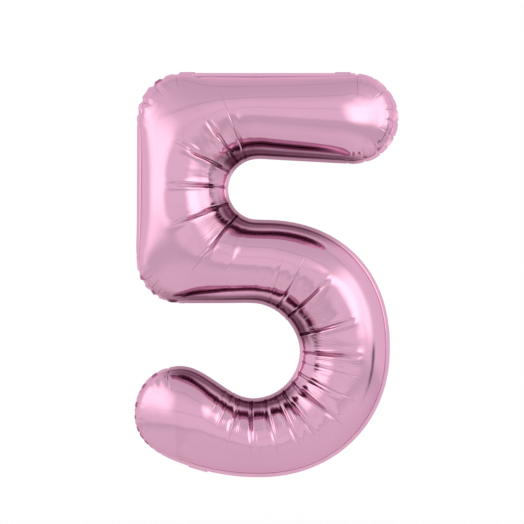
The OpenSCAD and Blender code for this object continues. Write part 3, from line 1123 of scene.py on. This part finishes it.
# The room's reflection has three faint dark lines across it: degrees above straight ahead, depth
LINES = ((17, 0.14), (54, 0.18), (99, 0.18))
LINE_WIDTH = 1.8


def plane(name, size_x, size_y, place, towards=None):
    mesh = bpy.data.meshes.new(name)
    x, y = size_x / 2, size_y / 2
    mesh.from_pydata([(-x, -y, 0), (x, -y, 0), (x, y, 0), (-x, y, 0)], [], [(0, 1, 2, 3)])
    thing = bpy.data.objects.new(name, mesh)
    thing.location = place
    if towards is not None:
        thing.rotation_euler = (Vector(towards) - Vector(place)).to_track_quat("Z", "Y").to_euler()
    bpy.context.scene.collection.objects.link(thing)
    return thing


def coordinates(tree, kind):
    """The x, y and z of a texture coordinate."""
    vector = node(tree, "TexCoord", {}, kind)
    return [node(tree, "SeparateXYZ", {0: vector}, axis) for axis in range(3)]


def floor_material():
    """Matt white that fades out all round."""
    material, tree, shader = node_tree("floor")
    away = node(tree, "VectorMath", {0: node(tree, "TexCoord", {}, "Object")}, "Value",
                operation="LENGTH")
    fill(tree, shader, {"Base Color": (0.9, 0.9, 0.9, 1), "Roughness": 0.8,
                        "Alpha": ramp(tree, away, FLOOR_OUT, FLOOR_IN, 0, 1)})
    return material


def first_bounce(tree):
    """1 for light seen in one reflection, and little for light that bounced between two tubes."""
    return ramp(tree, node(tree, "LightPath", {}, "Glossy Depth"), 1, 3, 1, 0.5)


def softbox(name, size, place, strength, edge):
    """A lamp that fades out over its edges. It shows only in reflections."""
    thing = plane(name, *size, place, MIDDLE)
    material, tree, shader = node_tree(name)
    tree.nodes.remove(shader)
    power = times(tree, first_bounce(tree), strength)
    for away, span in zip(coordinates(tree, "Object"), size):
        away = number(tree, "ABSOLUTE", away)
        power = times(tree, power, ramp(tree, away, span / 2 - edge, span / 2, 1, 0))
    glow = node(tree, "Emission", {"Color": LAMP_COLOUR, "Strength": power})
    both = node(tree, "AddShader", {0: glow, 1: node(tree, "BsdfTransparent", {})})
    fill(tree, tree.nodes["Material Output"], {"Surface": both})
    thing.data.materials.append(material)
    thing.visible_camera = False
    thing.visible_shadow = False


def beyond(tree, angle, low, high, at_low=0, at_high=1):
    """A smooth step between two angles in degrees."""
    return ramp(tree, angle, math.radians(low), math.radians(high), at_low, at_high)


def dark_line(tree, value, middle, width):
    """1 at the middle, 0 away from it."""
    return bell(tree, number(tree, "DIVIDE", number(tree, "SUBTRACT", value, middle), width))


def dimmed(tree, light, by, depth):
    """The light, less depth of itself where by is 1."""
    return times(tree, light, number(tree, "SUBTRACT", 1, times(tree, by, depth)))


def room_light(tree):
    """The white room as a reflection sees it, by the way it looks."""
    right, away, up = coordinates(tree, "Generated")
    pitch = number(tree, "ARCTAN2", up, times(tree, away, -1))  # 0 ahead, + upwards
    roll = number(tree, "ARCTAN2", up, right)  # 0 right, + upwards
    # darker low down, straight up and behind
    light = ramp(tree, up, math.sin(math.radians(-15)), math.sin(math.radians(-7)), 0.76, 0.97)
    for way, low, high, at_low, at_high in ((up, -1, -0.3, 0.84, 1), (up, 0.5, 1, 1, 0.78),
                                            (away, 0.75, 0.95, 1, 0.8)):
        light = times(tree, light, ramp(tree, way, low, high, at_low, at_high))
    for angle, depth in LINES:
        line = dark_line(tree, pitch, math.radians(angle), math.radians(LINE_WIDTH))
        light = dimmed(tree, light, line, depth)
    # the dark gap beside the right softbox, deep below and faint above
    below = times(tree, beyond(tree, roll, -52, -40), beyond(tree, roll, -5, 1, 1, 0))
    above = times(tree, beyond(tree, roll, -15, -5), beyond(tree, roll, 45, 75, 1, 0))
    gap = plus(tree, times(tree, above, 0.08), below, 0.8)
    light = dimmed(tree, light, gap, dark_line(tree, away, 0.06, 0.07))
    return times(tree, light, first_bounce(tree))


floor = plane("floor", 2 * FLOOR_OUT, 2 * FLOOR_OUT, (0, 0, CAD_BOX[0].z - FLOOR_DROP))
floor.data.materials.append(floor_material())
softbox("softbox_left", (2.1, 1.7), (-1.35, -0.40, -0.05), 0.75, 0.75)
softbox("softbox_right", (1.9, 1.9), (1.30, -1.25, 0.10), 1.05, 0.75)
softbox("softbox_side", (1.3, 1.9), (1.60, -0.35, 0.10), 0.75, 0.6)

world = bpy.data.worlds.new("studio")
bpy.context.scene.world = world
world.use_nodes = True
tree = world.node_tree
# the camera itself sees plain white
lit = node(tree, "Background", {"Color": WHITE, "Strength": room_light(tree)})
white = node(tree, "Background", {"Color": WHITE})
shown = node(tree, "MixShader", {0: node(tree, "LightPath", {}, "Is Camera Ray"), 1: lit, 2: white})
fill(tree, tree.nodes["World Output"], {"Surface": shown})

camera = bpy.data.objects.new("camera", bpy.data.cameras.new("camera"))
bpy.context.scene.collection.objects.link(camera)
bpy.context.scene.camera = camera
camera.data.lens = LENS
camera.data.sensor_width = SENSOR
camera.location = (-0.0097, -VIEW_WIDTH * LENS / SENSOR, -0.409)
camera.rotation_euler = (math.pi / 2, 0, 0)
bpy.context.scene.view_settings.view_transform = "Standard"

bpy.context.view_layer.update()
